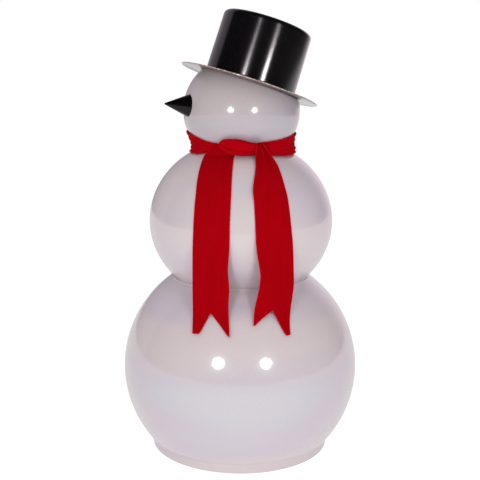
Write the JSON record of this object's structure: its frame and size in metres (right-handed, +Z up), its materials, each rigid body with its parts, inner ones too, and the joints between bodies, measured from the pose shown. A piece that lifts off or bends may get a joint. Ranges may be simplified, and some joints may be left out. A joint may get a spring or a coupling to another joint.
{
  "type": "yard snowman",
  "caption": "Rigid gloss snowman of stacked ball shells on a weighted base disc, with a lift-off leaning top hat, cone nose and tied cloth scarf.",
  "frame": {"origin": "on the ground, under the common axis of the three balls", "axes": "+Z up the balls' common axis; -Y is the side where the scarf is tied; the nose points to -X and a little to -Y at rest; the hat leans to +X and a little to +Y"},
  "size_m": [0.6619, 0.662, 1.2202],
  "materials": {
    "pearl_white": "lacquered gloss with a faint pearl",
    "base_white": "gloss",
    "gloss_black": "high gloss",
    "scarf_red": "brushed knit",
    "bearing_nylon": "turned",
    "seal_foam": "closed cell",
    "seal_white": "silicone",
    "pad_rubber": "moulded",
    "zinc_steel": "zinc plated",
    "insert_brass": "turned",
    "ballast_iron": "as cast"
  },
  "bodies": {
    "root": {"base_disc": "base_white", "base_pads": "pad_rubber", "anchor_inserts": "insert_brass", "base_bolts": "zinc_steel", "base_nuts": "zinc_steel", "base_washers": "zinc_steel", "ballast_plate": "ballast_iron", "ballast_bolt": "zinc_steel", "ballast_washer": "zinc_steel", "ballast_nut": "zinc_steel", "lower_ball": "pearl_white", "middle_ball": "pearl_white", "waist_gasket": "seal_white", "waist_collar": "bearing_nylon", "waist_bolts": "zinc_steel", "waist_washers": "zinc_steel", "waist_nuts": "zinc_steel", "neck_collar": "bearing_nylon", "collar_screws": "zinc_steel", "glide_ring": "bearing_nylon", "retaining_ring": "bearing_nylon", "retaining_screws": "zinc_steel", "scarf_band": "scarf_red", "scarf_knot": "scarf_red", "scarf_left_shoulder": "scarf_red", "scarf_right_shoulder": "scarf_red"},
    "head": {"head_ball": "pearl_white", "nose_cone": "gloss_black", "nose_stud": "zinc_steel", "nose_washer": "zinc_steel", "nose_wing_nut": "zinc_steel"},
    "hat_seat": {"hat_seat_ring": "bearing_nylon"},
    "hat": {"hat_shell": "gloss_black", "hat_gasket": "seal_foam"},
    "tail_left": {"scarf_left_tail": "scarf_red"},
    "tail_right": {"scarf_right_tail": "scarf_red"}
  },
  "joints": [
    {"name": "head_turn", "type": "hinge", "parent": "root", "child": "head", "pos_m": [0, 0, 0.95079], "axis": [0, 0, 1], "continuous": true},
    {"name": "hat_turn", "type": "hinge", "parent": "head", "child": "hat_seat", "pos_m": [0.02063, 0.0071, 1.01794], "axis": [0.2922, 0.1006, 0.9511], "continuous": true},
    {"name": "hat_lift", "type": "slide", "parent": "hat_seat", "child": "hat", "axis": [0.2922, 0.1006, 0.9511], "range_m": [0, 0.12]},
    {"name": "left_tail_swing", "type": "hinge", "parent": "root", "child": "tail_left", "pos_m": [-0.074, -0.24737, 0.65983], "axis": [-0.9581, 0.2866, 0], "range_deg": [0, 60]},
    {"name": "right_tail_swing", "type": "hinge", "parent": "root", "child": "tail_right", "pos_m": [0.0835, -0.24433, 0.65983], "axis": [-0.9463, -0.3234, 0], "range_deg": [0, 60]}
  ]
}
